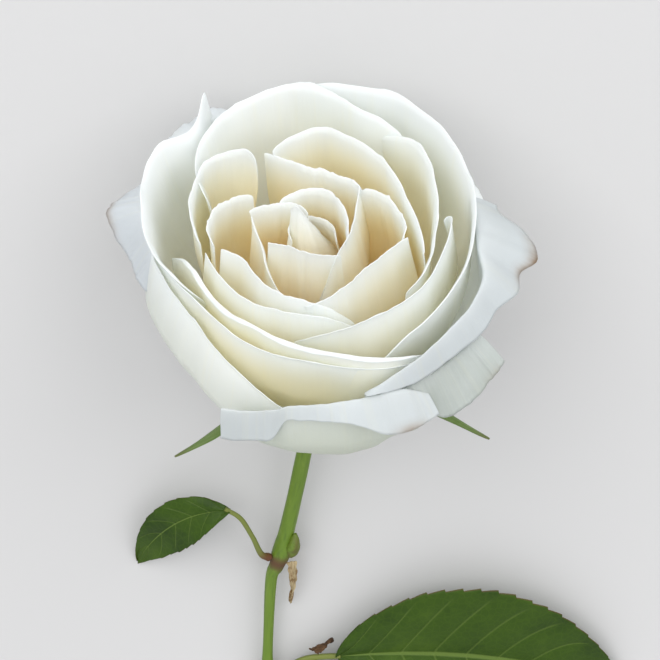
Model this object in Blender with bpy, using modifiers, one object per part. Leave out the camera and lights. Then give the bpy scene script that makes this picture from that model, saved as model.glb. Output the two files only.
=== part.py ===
"""Preserved white rose on a cut stem, lying on a table.

The stem runs along Y with its cut end at -Y and the open bloom at +Y. The neck bends upwards, so the bloom
looks forwards and up at 30 degrees and rests on the back of its outer petals. Lengths are in millimetres and
angles in degrees, and each mesh turns them into metres as it is made. Places on the table are measured from
the point under the hip, where the petals meet the stem.
"""
import math

import bmesh
import bpy
import numpy as np
from mathutils import Matrix

MM = 0.001

# where the hip stands in the row frame, and how the bloom is turned
HIP_X = -20.97
HIP_Y = 75.03
HIP_Z = 32.6
BLOOM_RISE = 30.0
BLOOM_LEAN = 4.0
LEAN_ABOUT_ELEVATION = 65.0

# thickness of the sheets, and the gap between neighbouring parts
PETAL_THICKNESS = 0.65
SEPAL_THICKNESS = 0.8
LEAF_THICKNESS = 0.7
DRY_THICKNESS = 0.7
GAP = 0.3

# the core that every petal grows out of, from its top down, as radius and height along the bloom's axis
CORE_PROFILE = [(0.0, 38.0), (14.0, 34.0), (25.0, 25.0), (29.0, 15.0), (27.0, 7.5), (20.0, 2.0), (6.0, 0.0),
                (0.0, 0.0)]
CORE_SIDES = 18
PETAL_ROOT_RADIUS = 4.0
PETAL_ROOT_HEIGHT = 2.5

# the hip under the bloom, from its top down
HIP_PROFILE = [(0.0, -GAP), (5.6, -GAP), (6.4, -1.6), (6.2, -4.0), (5.6, -7.0), (4.6, -9.6), (3.2, -11.8),
               (2.4, -13.0), (0.0, -13.0)]
HIP_SIDES = 16

# each sepal's azimuth, its half width, and the three points of its arc, as radius and height on the bloom
SEPALS = [
    (-144.0, 2.7, [(5.6, -2.2), (28.0, -9.0), (53.5, -10.0)]),
    (-32.0, 2.5, [(5.6, -2.2), (30.0, -9.5), (57.5, -10.0)]),
    (36.0, 3.6, [(5.6, -2.2), (25.0, -8.0), (42.0, -20.0)]),
    (96.0, 3.6, [(5.6, -2.2), (20.0, -8.0), (17.0, -36.0)]),
    (158.0, 3.4, [(5.6, -2.2), (25.0, -8.0), (42.0, -20.0)]),
]
SEPAL_REST = 0.5

# the stem's middle line from the hip to the cut end: x and y from the hip, height over the table, and radius
STEM_LINE = [
    (0.53, -11.5, 25.95, 2.35),
    (-1.5, -28.0, 17.4, 2.35),
    (-4.2, -46.0, 12.2, 2.4),
    (-8.0, -67.0, 8.9, 2.45),
    (-10.6, -80.0, 7.6, 2.6),
    (-12.2, -87.0, 7.1, 3.1),
    (-13.9, -92.5, 6.8, 2.5),
    (-15.8, -99.0, 6.3, 1.9),
    (-17.2, -126.0, 5.1, 1.7),
    (-17.4, -136.0, 4.7, 2.4),
    (-17.5, -144.0, 4.4, 1.75),
    (-17.4, -180.0, 3.2, 1.7),
    (-17.0, -225.0, 1.8, 1.8),
]
STEM_BUD = [(-9.4, -88.0, 8.0, 1.2), (-8.6, -85.5, 8.6, 2.0), (-8.0, -82.5, 9.2, 1.9),
            (-7.6, -79.0, 9.6, 0.6)]

# the small leaf at the upper swelling: its stalk arches forwards and lets the blade hang to the left
UPPER_STALK = [(-16.3, -88.5, 8.3, 1.4), (-18.6, -85.6, 11.2, 1.0), (-21.3, -77.0, 14.8, 0.8),
               (-24.6, -69.5, 16.8, 0.8), (-29.5, -65.5, 17.3, 0.7)]
UPPER_BLADE = dict(line=[(-28.0, -66.2, 17.2), (-47.5, -67.5, 14.5), (-59.5, -94.5, 0.5)], half_width=7.6,
                   broad=0.5, tilt=0.35, wave=0.4, stations=16, rows=4)

# the compound leaf at the lower swelling: a stalk, a large end leaflet to the right and one side leaflet
LOWER_STALK = [(-14.5, -135.4, 5.4, 1.4), (-11.0, -133.2, 6.2, 1.2), (-7.0, -129.6, 6.8, 1.1),
               (-1.0, -127.6, 7.0, 1.0), (7.0, -127.0, 7.4, 0.9)]
END_BLADE = dict(line=[(5.5, -127.0, 7.3), (54.0, -119.5, 10.0), (101.5, -143.0, 0.5)], half_width=28.5,
                 broad=0.45, tilt=0.0, wave=1.2, stations=20, rows=6)
SIDE_BLADE = dict(line=[(-3.0, -128.5, 6.6), (8.0, -158.0, 9.0), (13.0, -196.0, 0.5)], half_width=15.5,
                  broad=0.44, tilt=0.0, wave=0.8, stations=16, rows=4)
BLADE_REST = 0.35

# the dry strip at the upper swelling and the stub of a withered leaflet beside the lower leaf's stalk
DRY_STRIP = dict(line=[(-9.0, -90.5, 7.6), (-7.6, -98.0, 6.0), (-9.4, -109.0, 2.6)], half_width=1.5,
                 twist=70.0)
STUB = dict(line=[(-1.8, -124.6, 7.8), (0.6, -121.6, 9.6), (4.4, -119.8, 7.8)], half_width=1.8, twist=60.0)

COLOURS = {
    "bloom": (0.86, 0.84, 0.72, 0.65),
    "calyx": (0.16, 0.26, 0.07, 0.6),
    "stem": (0.16, 0.28, 0.06, 0.55),
    "leaf_upper": (0.07, 0.15, 0.05, 0.6),
    "leaf_lower": (0.08, 0.17, 0.06, 0.6),
    "stipule_dry": (0.50, 0.42, 0.28, 0.8),
    "leaflet_stub": (0.20, 0.12, 0.06, 0.8),
}


def petal(az, r, h, lip_r=None, lip_h=None, lift=6.0, belly=1.06, out=1.5, drop=4.0, point=0.0, at=0.0,
          point_width=0.16, narrow=0.6, low=0.0, corner=0.5, shift=(0.0, 0.0), rest=None, hinge=0.78):
    """One petal's measures. az is its span of azimuths. r and h are the radius and height of its rim at the
    start, the middle and the end of that span, and lip_r and lip_h are the same for the edge of a margin that
    rolls outwards from the rim. rest is the height over the table at which a pressed petal stops."""
    return dict(az=az, r=r, h=h, lip_r=lip_r, lip_h=lip_h, lift=lift, belly=belly, out=out, drop=drop,
                point=point, at=at, point_width=point_width, narrow=narrow, low=low, corner=corner, shift=shift,
                rest=rest, hinge=hinge)


# the petals in turn, from the heart outwards
PETALS = {
    "heart": petal((168, 392), (5.5, 2.5, 6.0), (58, 60, 47), belly=0.6, out=9.5, drop=3, point=2,
                   shift=(-2.0, 3.4)),
    "heart_back": petal((0, 200), (7, 5.5, 5), (50, 53, 54), belly=0.6, out=7.5, drop=1),
    "inner_back": petal((100, 178), (6, 10, 20), (57, 57, 50), drop=1),
    "inner_front": petal((194, 304), (12.8, 9.3, 14.5), (56.5, 57, 56), out=4.5, point=1.0, at=-0.8, drop=2),
    "inner_left": petal((186, 262), (15.7, 12.0, 12.8), (60, 50, 40), out=4.5, drop=1),
    "arch": petal((-38, 138), (12, 10.8, 10.2), (57, 58, 58), out=2.5),
    "inner_right": petal((-78, 34), (14.5, 11.4, 17), (56.5, 58, 59.5), out=6.0, point=2.0, at=0.85, drop=2),
    "second_back": petal((8, 121), (11.5, 17.3, 26), (52, 58, 58.5), out=2.0, point=1.5, at=-0.45, drop=2),
    "second_right": petal((-28, 38), (27, 24, 17), (56, 57.5, 57), out=2.0),
    "third_right": petal((-98, -10), (28, 21.8, 28), (57, 58.5, 57), out=5.0, drop=2),
    "third_left": petal((182, 284), (24.5, 22, 27), (57, 57.5, 57), out=5.0, drop=2, point=1, at=-0.9),
    "fourth_left": petal((190, 286), (29.5, 27.5, 33), (55.5, 55.5, 55), out=4.0, drop=1.5),
    "inner_side": petal((130, 200), (27, 28.5, 26), (56, 56, 55), out=2.0),
    "fourth_back": petal((-18, 113), (32, 29, 28), (56, 59, 57), point=2.0, at=0.5, drop=3),
    "folded_left": petal((113, 194), (26, 34, 32), (59, 58, 57), narrow=0.3, drop=2),
    "fifth_right": petal((-30, 66), (35, 39.0, 40), (56, 58.5, 58), drop=2),
    "fifth_front": petal((-102, 6), (38.5, 36, 41), (55, 57, 57), out=3, point=2.0, at=0.93, drop=2),
    "front_left": petal((166, 290), (46, 38, 42), (54.5, 56, 52), (49, 40.5, 44), (55, 56, 51), lift=3,
                        drop=2, hinge=0.88),
    "front": petal((226, 316), (37, 41, 50), (54, 50, 45), (39, 43.5, 52), (54, 49, 45), lift=3, drop=1,
                   hinge=0.88),
    "right": petal((-72, 30), (48.5, 43.5, 48), (54, 57, 57), (50, 45, 49), (54, 57, 57), lift=2, drop=2,
                   hinge=0.9),
    "back_right": petal((14, 98), (47, 49.5, 46), (58, 59, 58.5), drop=3),
    "back_left": petal((60, 151), (40, 48.5, 36), (57, 59, 56), drop=2),
    "left": petal((118, 203), (54, 49, 38), (57, 57, 46), point=2.5, at=-0.95, drop=0, point_width=0.1),
    "outer_right": petal((-80, 10), (48.5, 48, 47), (42, 48, 49), (50, 54, 66), (37, 42.5, 44), low=-3,
                         drop=1),
    "outer_lower_right": petal((-68, -20), (50, 51, 50), (33, 36, 39), (57, 60, 63), (28, 32, 40), lift=7,
                               low=-4, drop=0, corner=0.3),
    "outer_front": petal((-124, -54), (49, 46.5, 49), (32, 37, 37), (55, 49, 56), (25, 35, 30), lift=4, out=8,
                         low=-7, drop=0, narrow=0.75, corner=0.2),
    "outer_left": petal((176, 262), (41, 38.5, 48), (50, 46, 36), out=8.0, low=-3, drop=1),
    "outer_side": petal((150, 204), (48, 46, 41), (45, 42, 31), (62, 54, 42.5), (46, 41, 31), lift=5, low=-3,
                        corner=0.3, drop=0),
    "under_left": petal((108, 156), (49, 49, 48), (47, 48, 47), (57, 57, 55), (48, 49, 49), lift=5, low=-3,
                        rest=0.95),
    "under": petal((62, 130), (50, 51, 50), (41, 42, 41), (56, 57, 56), (41, 43, 41), low=-3, rest=0.325),
    "under_right": petal((-2, 74), (49, 50, 50), (40, 42, 42), (54, 56, 56), (40, 42, 42), low=-3, rest=0.65),
}


for old in list(bpy.data.objects):
    bpy.data.objects.remove(old, do_unlink=True)

part_collection = bpy.data.collections.new("preserved_rose")
helper_collection = bpy.data.collections.new("repeats")
bpy.context.scene.collection.children.link(part_collection)
bpy.context.scene.collection.children.link(helper_collection)


def turned(vector, about, angle):
    """The vector turned about a unit axis by an angle in degrees."""
    cosine = math.cos(math.radians(angle))
    sine = math.sin(math.radians(angle))
    return vector * cosine + np.cross(about, vector) * sine + about * np.dot(about, vector) * (1 - cosine)


def forwards(elevation):
    """The direction in the YZ plane that rises from +Y by an angle in degrees."""
    return np.array([0.0, math.cos(math.radians(elevation)), math.sin(math.radians(elevation))])


LEAN_AXIS = forwards(LEAN_ABOUT_ELEVATION)
AXIS = turned(forwards(BLOOM_RISE), LEAN_AXIS, BLOOM_LEAN)
ACROSS = turned(np.array([1.0, 0.0, 0.0]), LEAN_AXIS, BLOOM_LEAN)
UNDER = np.cross(AXIS, ACROSS)
HIP = np.array([HIP_X, HIP_Y, HIP_Z])
HIP_FOOT = np.array([HIP_X, HIP_Y, 0.0])


def from_bloom(radius, azimuth, height):
    """Points given about the bloom's axis, in the row frame. Azimuths are in radians, and pi / 2 is down."""
    across = (radius * np.cos(azimuth))[..., None] * ACROSS
    under = (radius * np.sin(azimuth))[..., None] * UNDER
    return HIP + across + under + np.asarray(height)[..., None] * AXIS


def sheet(name, place, across, along, thickness, collection):
    """A closed shell of even thickness. A flat grid, with u from -1 to 1 over across faces and v from 0 to 1
    over along faces, is moved to where place(u, v) puts it, cut into triangles and thickened."""
    work = bmesh.new()
    bmesh.ops.create_grid(work, x_segments=across, y_segments=along, size=1.0)
    flat = np.array([vertex.co[:] for vertex in work.verts])
    points = place(flat[:, 0], (flat[:, 1] + 1) / 2) * MM
    for vertex, point in zip(work.verts, points):
        vertex.co = point
    bmesh.ops.triangulate(work, faces=work.faces)
    mesh = bpy.data.meshes.new(name)
    work.to_mesh(mesh)
    work.free()
    thing = bpy.data.objects.new(name, mesh)
    collection.objects.link(thing)
    solid = thing.modifiers.new("thickness", "SOLIDIFY")
    solid.thickness = thickness * MM
    solid.offset = 0.0
    return thing


def turned_body(name, profile, sides, collection):
    """A closed body turned about the bloom's axis, from a profile that runs down from axis to axis."""
    mesh = bpy.data.meshes.new(name)
    points = [(radius * MM, 0.0, height * MM) for radius, height in profile]
    mesh.from_pydata(points, [(k, k + 1) for k in range(len(points) - 1)], [])
    thing = bpy.data.objects.new(name, mesh)
    collection.objects.link(thing)
    screw = thing.modifiers.new("turn", "SCREW")
    screw.steps = sides
    screw.render_steps = sides
    screw.use_merge_vertices = True
    screw.merge_threshold = 0.00001
    turn = Matrix([ACROSS, UNDER, AXIS]).transposed().to_4x4()
    thing.matrix_world = Matrix.Translation(HIP * MM) @ turn
    return thing


def tube(name, rows, roundness, collection):
    """A closed round tube as a mesh, from a bevelled curve through rows of x, y, height and radius."""
    curve = bpy.data.curves.new(name, "CURVE")
    curve.dimensions = "3D"
    curve.bevel_depth = MM
    curve.bevel_resolution = roundness
    curve.use_fill_caps = True
    spline = curve.splines.new("POLY")
    spline.points.add(len(rows) - 1)
    for point, row in zip(spline.points, rows):
        point.co = (*((row[:3] + HIP_FOOT) * MM), 1.0)
        point.radius = row[3]
    guide = bpy.data.objects.new(name + "_line", curve)
    helper_collection.objects.link(guide)
    bpy.context.view_layer.update()
    graph = bpy.context.evaluated_depsgraph_get()
    mesh = bpy.data.meshes.new_from_object(guide.evaluated_get(graph))
    bpy.data.objects.remove(guide, do_unlink=True)
    work = bmesh.new()
    work.from_mesh(mesh)
    bmesh.ops.remove_doubles(work, verts=work.verts, dist=0.000001)
    work.to_mesh(mesh)
    work.free()
    mesh.name = name
    thing = bpy.data.objects.new(name, mesh)
    collection.objects.link(thing)
    return thing


def smooth_line(points, steps):
    """A curve through every row of points, sampled steps times from row to row, all columns alike."""
    points = np.asarray(points, float)
    padded = np.concatenate([2 * points[:1] - points[1:2], points, 2 * points[-1:] - points[-2:-1]])
    rows = []
    for k in range(len(points) - 1):
        p0, p1, p2, p3 = padded[k:k + 4]
        for t in np.arange(steps) / steps:
            bend = 2 * p0 - 5 * p1 + 4 * p2 - p3
            rows.append(0.5 * (2 * p1 + (p2 - p0) * t + bend * t * t + (3 * p1 - p0 - 3 * p2 + p3) * t ** 3))
    rows.append(points[-1])
    return np.array(rows)


def arc(line, t):
    """The quadratic curve that starts and ends at a line's outer points and is drawn to its middle one, and
    the curve's direction."""
    start, bend, end = [np.asarray(point, float) for point in line]
    t = t[:, None]
    place = (1 - t) ** 2 * start + 2 * t * (1 - t) * bend + t * t * end
    return place, 2 * (1 - t) * (bend - start) + 2 * t * (end - bend)


def beside(direction):
    """For each direction, the level direction to its left and the one square to both, as unit vectors."""
    side = np.cross([0.0, 0.0, 1.0], direction)
    side /= np.linalg.norm(side, axis=1, keepdims=True)
    upper = np.cross(direction, side)
    return side, upper / np.linalg.norm(upper, axis=1, keepdims=True)


def keep_main_shell(mesh):
    """Keeps the main shell and drops crumbs and the walls of pockets that a union sealed inside the body."""
    work = bmesh.new()
    work.from_mesh(mesh)
    unseen = set(work.faces)
    shells = []
    while unseen:
        shell = [unseen.pop()]
        for face in shell:
            for edge in face.edges:
                for other in edge.link_faces:
                    if other in unseen:
                        unseen.discard(other)
                        shell.append(other)
        shells.append(shell)
    shells.sort(key=len)
    for shell in shells[:-1]:
        bmesh.ops.delete(work, geom=shell, context="FACES")
    work.to_mesh(mesh)
    work.free()


def repeats_collection(name):
    """A collection for the pieces of one union, kept under the helpers."""
    collection = bpy.data.collections.new(name)
    helper_collection.children.link(collection)
    return collection


def fuse(body, repeats, solver="EXACT"):
    """Joins a body with every object of a collection by one union, applies it, and removes the collection."""
    union = body.modifiers.new("union", "BOOLEAN")
    union.operation = "UNION"
    union.operand_type = "COLLECTION"
    union.collection = repeats
    union.solver = solver
    bpy.context.view_layer.update()
    graph = bpy.context.evaluated_depsgraph_get()
    joined = bpy.data.meshes.new_from_object(body.evaluated_get(graph))
    body.modifiers.clear()
    body.data = joined
    keep_main_shell(joined)
    for thing in list(repeats.objects):
        bpy.data.objects.remove(thing, do_unlink=True)
    bpy.data.collections.remove(repeats)


def through(three, u):
    """The parabola through three values at u = -1, 0 and 1."""
    first, middle, last = three
    return middle + (last - first) / 2 * u + ((last + first) / 2 - middle) * u * u


def petal_points(p, u, v):
    """Petal points. u runs across the petal and v from its root to its edge. The wall is a cubic curve from
    the root through a wide belly up to the rim, and a rolled margin is a quadratic curve that leaves the rim
    along the wall. The rim's radius and height follow u, and the petal narrows towards its root."""
    peak = p["point"] * np.exp(-((u - p["at"]) / p["point_width"]) ** 2)
    rim_r = through(p["r"], u)
    rim_h = through(p["h"], u) - p["drop"] * u ** 4 + peak
    hinge = 1.0 if p["lip_r"] is None else p["hinge"]
    s = 0.2 + 0.8 * np.minimum(v / hinge, 1)
    q = 1 - s
    belly = rim_r * p["belly"] + p["out"]
    high = PETAL_ROOT_HEIGHT + 0.6 * (rim_h - PETAL_ROOT_HEIGHT)
    rho = q ** 3 * PETAL_ROOT_RADIUS + (2.76 * q * q * s + 3 * q * s * s) * belly + s ** 3 * rim_r
    height = q ** 3 * PETAL_ROOT_HEIGHT + 3 * q * q * s * (PETAL_ROOT_HEIGHT + p["low"])
    height = height + 3 * q * s * s * high + s ** 3 * rim_h
    if p["lip_r"] is not None:
        wall_r, wall_h = rim_r - belly, rim_h - high
        lift = p["lift"] / np.hypot(wall_r, wall_h)
        fade = 1 - p["corner"] * u ** 6
        end_r = rim_r + (through(p["lip_r"], u) - rim_r) * fade
        end_h = rim_h + (through(p["lip_h"], u) - rim_h) * fade
        w = np.clip((v - hinge) / (1 - hinge), 0, 1)
        roll_r = (1 - w ** 2) * rim_r + 2 * w * (1 - w) * lift * wall_r + w ** 2 * end_r
        roll_h = (1 - w ** 2) * rim_h + 2 * w * (1 - w) * lift * wall_h + w ** 2 * end_h
        rho = np.where(v > hinge, roll_r, rho)
        height = np.where(v > hinge, roll_h, height)
    narrow = p["narrow"] + (1 - p["narrow"]) * np.sin(s * np.pi / 2) ** 1.5
    first, last = p["az"]
    azimuth = np.radians((first + last) / 2 + (last - first) / 2 * u * narrow)
    points = from_bloom(np.maximum(rho, 0.5), azimuth, height)
    points += (s * s)[:, None] * (p["shift"][0] * ACROSS + p["shift"][1] * UNDER)
    if p["rest"] is not None:
        points[:, 2] = np.maximum(points[:, 2], p["rest"])
    return points


def sepal_points(azimuth, half_width, line, u, v):
    """Sepal points. v runs along an arc under the bloom and u across it. The sepal narrows to its tip, and
    its edges turn down a little. What would go into the table lies on it."""
    place, _ = arc(line, v)
    half = half_width * (1 - v) ** 0.8 * (0.75 + 0.5 * v) + 0.5
    azimuth = math.radians(azimuth)
    points = from_bloom(place[:, 0], np.full_like(v, azimuth), place[:, 1] - 0.35 * half * u ** 2)
    points += (u * half)[:, None] * (math.cos(azimuth) * UNDER - math.sin(azimuth) * ACROSS)
    points[:, 2] = np.maximum(points[:, 2], SEPAL_REST)
    return points


def blade_points(blade, u, v):
    """Leaf blade points. v runs along the middle vein and u across it. The half width rises to its greatest
    at broad and falls to the tip, with a tooth on every second station. Both halves rise from the vein, the
    blade tilts about the vein, and a gentle wave runs over it."""
    place, direction = arc(blade["line"], v)
    side, upper = beside(direction)
    power = math.log(0.5) / math.log(blade["broad"])
    half = blade["half_width"] * np.sin(np.pi * v ** power) ** 0.8
    half *= 1 + 0.07 * (np.round(v * blade["stations"]) % 2)
    reach = np.maximum(half, 0.5) * u
    lift = 0.25 * np.abs(reach) + blade["tilt"] * reach
    lift += blade["wave"] * np.sin(5.0 * v + 2.5 * u) * np.abs(u)
    points = HIP_FOOT + place + reach[:, None] * side + lift[:, None] * upper
    points[:, 2] = np.maximum(points[:, 2], BLADE_REST)
    return points


def strip_points(strip, u, v):
    """Points of a narrow dry strip. v runs along its arc and u across it. It narrows and turns as it goes."""
    place, direction = arc(strip["line"], v)
    side, upper = beside(direction)
    turn = np.radians(strip["twist"]) * v
    reach = strip["half_width"] * (1 - 0.7 * v ** 2) * u
    flat, steep = (reach * np.cos(turn))[:, None], (reach * np.sin(turn))[:, None]
    return HIP_FOOT + place + flat * side + steep * upper


# the bloom
petals = repeats_collection("petals")
for name, measures in PETALS.items():
    span = measures["az"][1] - measures["az"][0]
    rows = 5 if measures["lip_r"] is None else 7
    columns = 2 + round(span / 26)
    sheet("petal_" + name, lambda u, v: petal_points(measures, u, v), columns, rows, PETAL_THICKNESS, petals)
bloom = turned_body("bloom", CORE_PROFILE, CORE_SIDES, part_collection)
fuse(bloom, petals, "MANIFOLD")

# the hip with its five sepals, turned back under the bloom
sepals = repeats_collection("sepals")
for azimuth, half_width, line in SEPALS:
    sheet("sepal", lambda u, v: sepal_points(azimuth, half_width, line, u, v), 2, 8, SEPAL_THICKNESS, sepals)
calyx = turned_body("calyx", HIP_PROFILE, HIP_SIDES, part_collection)
fuse(calyx, sepals, "MANIFOLD")

# the stem, with the sleeping bud on its upper swelling
buds = repeats_collection("buds")
tube("bud", smooth_line(STEM_BUD, 2), 2, buds)
stem = tube("stem", smooth_line(STEM_LINE, 3), 4, part_collection)
fuse(stem, buds)

# the small upper leaf and the large lower one
blades = repeats_collection("upper_blade")
sheet("blade", lambda u, v: blade_points(UPPER_BLADE, u, v), UPPER_BLADE["rows"], UPPER_BLADE["stations"],
      LEAF_THICKNESS, blades)
leaf_upper = tube("leaf_upper", smooth_line(UPPER_STALK, 3), 2, part_collection)
fuse(leaf_upper, blades)

blades = repeats_collection("lower_blades")
for blade in (END_BLADE, SIDE_BLADE):
    sheet("blade", lambda u, v: blade_points(blade, u, v), blade["rows"], blade["stations"], LEAF_THICKNESS,
          blades)
leaf_lower = tube("leaf_lower", smooth_line(LOWER_STALK, 3), 2, part_collection)
fuse(leaf_lower, blades, "MANIFOLD")

# the two dry remains
sheet("stipule_dry", lambda u, v: strip_points(DRY_STRIP, u, v), 2, 9, DRY_THICKNESS, part_collection)
sheet("leaflet_stub", lambda u, v: strip_points(STUB, u, v), 2, 8, DRY_THICKNESS, part_collection)

# each object's own material
for thing in part_collection.objects:
    red, green, blue, roughness = COLOURS[thing.name]
    material = bpy.data.materials.new(thing.name)
    material.use_nodes = True
    shader = material.node_tree.nodes["Principled BSDF"]
    shader.inputs["Base Color"].default_value = (red, green, blue, 1.0)
    shader.inputs["Roughness"].default_value = roughness
    thing.data.materials.clear()
    thing.data.materials.append(material)
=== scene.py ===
"""A preserved white rose on a cut stem, lying on a pale table and seen from above.

Shapes are worked out in millimetres. Places on the table are measured from the point under the hip, where the
petals meet the stem.
"""
import math

import bpy
import numpy as np
from mathutils import Matrix, Vector


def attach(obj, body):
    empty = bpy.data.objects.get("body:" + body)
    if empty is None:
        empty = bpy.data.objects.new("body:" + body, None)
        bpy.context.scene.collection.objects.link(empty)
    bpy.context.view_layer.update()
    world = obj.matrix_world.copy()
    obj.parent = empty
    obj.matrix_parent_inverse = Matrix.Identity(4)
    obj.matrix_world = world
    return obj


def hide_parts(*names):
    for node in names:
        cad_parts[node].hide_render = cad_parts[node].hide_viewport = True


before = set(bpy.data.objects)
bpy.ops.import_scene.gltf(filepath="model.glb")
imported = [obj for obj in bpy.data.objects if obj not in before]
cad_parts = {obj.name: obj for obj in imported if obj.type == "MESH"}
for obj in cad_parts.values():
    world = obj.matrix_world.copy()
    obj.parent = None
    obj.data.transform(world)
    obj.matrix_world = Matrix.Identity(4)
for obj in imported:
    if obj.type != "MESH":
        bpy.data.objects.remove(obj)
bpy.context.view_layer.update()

# The stem. A cut flower stem of fresh green wood fibre under a smooth waxy skin, dried by the preserving bath
# and cut square at its foot. It carries two swellings where leaves grow, and a sleeping bud on the upper one.

MM = 0.001
HIP_FOOT = np.array([-20.97, 75.03, 0.0])
STEM_LINE = [
    (0.53, -11.5, 25.95, 2.35),
    (-1.5, -28.0, 17.4, 2.35),
    (-4.2, -46.0, 12.2, 2.4),
    (-8.0, -67.0, 8.9, 2.45),
    (-10.6, -80.0, 7.6, 2.6),
    (-12.2, -87.0, 7.1, 3.1),
    (-13.9, -92.5, 6.8, 2.5),
    (-15.8, -99.0, 6.3, 1.9),
    (-17.2, -126.0, 5.1, 1.7),
    (-17.4, -136.0, 4.7, 2.4),
    (-17.5, -144.0, 4.4, 1.75),
    (-17.4, -180.0, 3.2, 1.7),
    (-17.0, -225.0, 1.8, 1.8),
]
STEM_BUD = [(-9.4, -88.0, 8.0, 1.2), (-8.6, -85.5, 8.6, 2.0), (-8.0, -82.5, 9.2, 1.9), (-7.6, -79.0, 9.6, 0.5)]
UPPER_SCAR = (-90.5, 3.2)
LOWER_SCAR = (-137.0, 2.6)
STEM_SIDES = 32
BUD_SIDES = 24
CUT_RINGS = (0.75, 0.4)
SEED_STEP = 7.3
STEM_GREEN = (0.108, 0.185, 0.012)
STEM_PALE = (0.195, 0.280, 0.038)
STEM_DARK = (0.082, 0.148, 0.010)
STEM_SCAR = (0.095, 0.048, 0.018)
STEM_PITH = (0.62, 0.60, 0.42)


class Tone:
    """A number that a finish works out. Arithmetic on it adds the Math nodes."""

    def __init__(self, finish, socket):
        self.finish = finish
        self.socket = socket

    def worked(self, operation, first, second):
        return self.finish.add("ShaderNodeMath", {"operation": operation}, {0: first, 1: second})

    def __add__(self, other):
        return self.worked("ADD", self, other)

    def __radd__(self, other):
        return self.worked("ADD", other, self)

    def __sub__(self, other):
        return self.worked("SUBTRACT", self, other)

    def __rsub__(self, other):
        return self.worked("SUBTRACT", other, self)

    def __mul__(self, other):
        return self.worked("MULTIPLY", self, other)

    def __rmul__(self, other):
        return self.worked("MULTIPLY", other, self)


class Finish:
    """A material in the making, with the Principled shader that every finish here starts from."""

    def __init__(self, name, **constants):
        self.material = bpy.data.materials.new(name)
        self.material.use_nodes = True
        self.tree = self.material.node_tree
        self.shader = self.tree.nodes["Principled BSDF"]
        self.output = self.tree.nodes["Material Output"]
        for socket, value in constants.items():
            self.shader.inputs[socket.replace("_", " ").title().replace("Ior", "IOR")].default_value = value

    def add(self, kind, settings, inputs, out=0):
        """A new node with its settings, its socket values or links, and one of its outputs as a tone."""
        node = self.tree.nodes.new(kind)
        for key, value in settings.items():
            setattr(node, key, value)
        for key, value in inputs.items():
            self.feed(node.inputs[key], value)
        return Tone(self, node.outputs[out])

    def feed(self, socket, value):
        """Links a tone to a socket, or sets the socket to a plain value."""
        if isinstance(value, Tone):
            self.tree.links.new(value.socket, socket)
        elif socket.type == "RGBA":
            socket.default_value = (*value, 1.0)
        else:
            socket.default_value = value

    def mark(self, name):
        """A value that the mesh carries at each point."""
        return self.add("ShaderNodeAttribute", {"attribute_name": name}, {}, "Fac")

    def place(self, x=1.0, y=1.0, z=1.0):
        """Object coordinates in metres, each stretched by its scale."""
        where = self.add("ShaderNodeTexCoord", {}, {}, "Object")
        return self.add("ShaderNodeVectorMath", {"operation": "MULTIPLY"}, {0: where, 1: (x, y, z)})

    def grain(self, where, scale, detail=3.0, roughness=0.55):
        """Noise from 0 to 1 at a place."""
        values = {"Vector": where, "Scale": scale, "Detail": detail, "Roughness": roughness}
        return self.add("ShaderNodeTexNoise", {}, values)

    def sheet_place(self, across, along):
        """A place on the sheet itself, from the values u and v that its mesh carries. The seed sets every
        sheet apart in the noise."""
        parts = {"X": self.mark("u") * across, "Y": self.mark("v") * along, "Z": self.mark("seed") * SEED_STEP}
        return self.add("ShaderNodeCombineXYZ", {}, parts)

    def ease(self, value, low, high):
        """A smooth step from 0 to 1 as the value goes from low to high."""
        return self.add("ShaderNodeMapRange", {"interpolation_type": "SMOOTHSTEP"}, {0: value, 1: low, 2: high})

    def blend(self, first, second, share):
        """One colour going over to another as the share goes from 0 to 1."""
        return self.add("ShaderNodeMix", {"data_type": "RGBA"}, {0: share, 6: first, 7: second}, 2)

    def finished(self, colour, roughness, relief, distance, strength, glow=0.0):
        """Feeds the shader, raises the relief by a distance in metres at a strength from 0 to 1, and lets a
        share of the light, the glow, through to the other side. Returns the material."""
        values = {"Height": relief, "Distance": distance, "Strength": strength}
        bump = self.add("ShaderNodeBump", {}, values)
        self.feed(self.shader.inputs["Base Color"], colour)
        self.feed(self.shader.inputs["Roughness"], roughness)
        self.feed(self.shader.inputs["Normal"], bump)
        if glow:
            through = self.add("ShaderNodeBsdfTranslucent", {}, {"Color": colour, "Normal": bump})
            body = Tone(self, self.shader.outputs[0])
            mixed = self.add("ShaderNodeMixShader", {}, {0: glow, 1: body, 2: through})
            self.feed(self.output.inputs["Surface"], mixed)
        return self.material


def quads(index):
    """The faces of a grid of point numbers."""
    return np.stack([index[:-1, :-1], index[1:, :-1], index[1:, 1:], index[:-1, 1:]], -1).reshape(-1, 4)


def closed_round(index):
    """The faces of a grid of point numbers that goes around in its second direction. The next two numbers are
    those of the middle points that close its two ends."""
    after = np.roll(index, -1, axis=1)
    faces = [quads(np.concatenate([index, index[:, :1]], axis=1))]
    for middle, first, second in ((index.size, index[0], after[0]), (index.size + 1, after[-1], index[-1])):
        faces.append(np.stack([np.full_like(first, middle), first, second, np.full_like(first, -1)], -1))
    return np.concatenate(faces)


def unit(vectors):
    """Vectors brought to length one."""
    return vectors / np.maximum(np.linalg.norm(vectors, axis=-1, keepdims=True), 1e-9)


def with_ends(points):
    """The points with one more at each end, as far past it as its neighbour lies before it."""
    return np.concatenate([2 * points[:1] - points[1:2], points, 2 * points[-1:] - points[-2:-1]])


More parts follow.
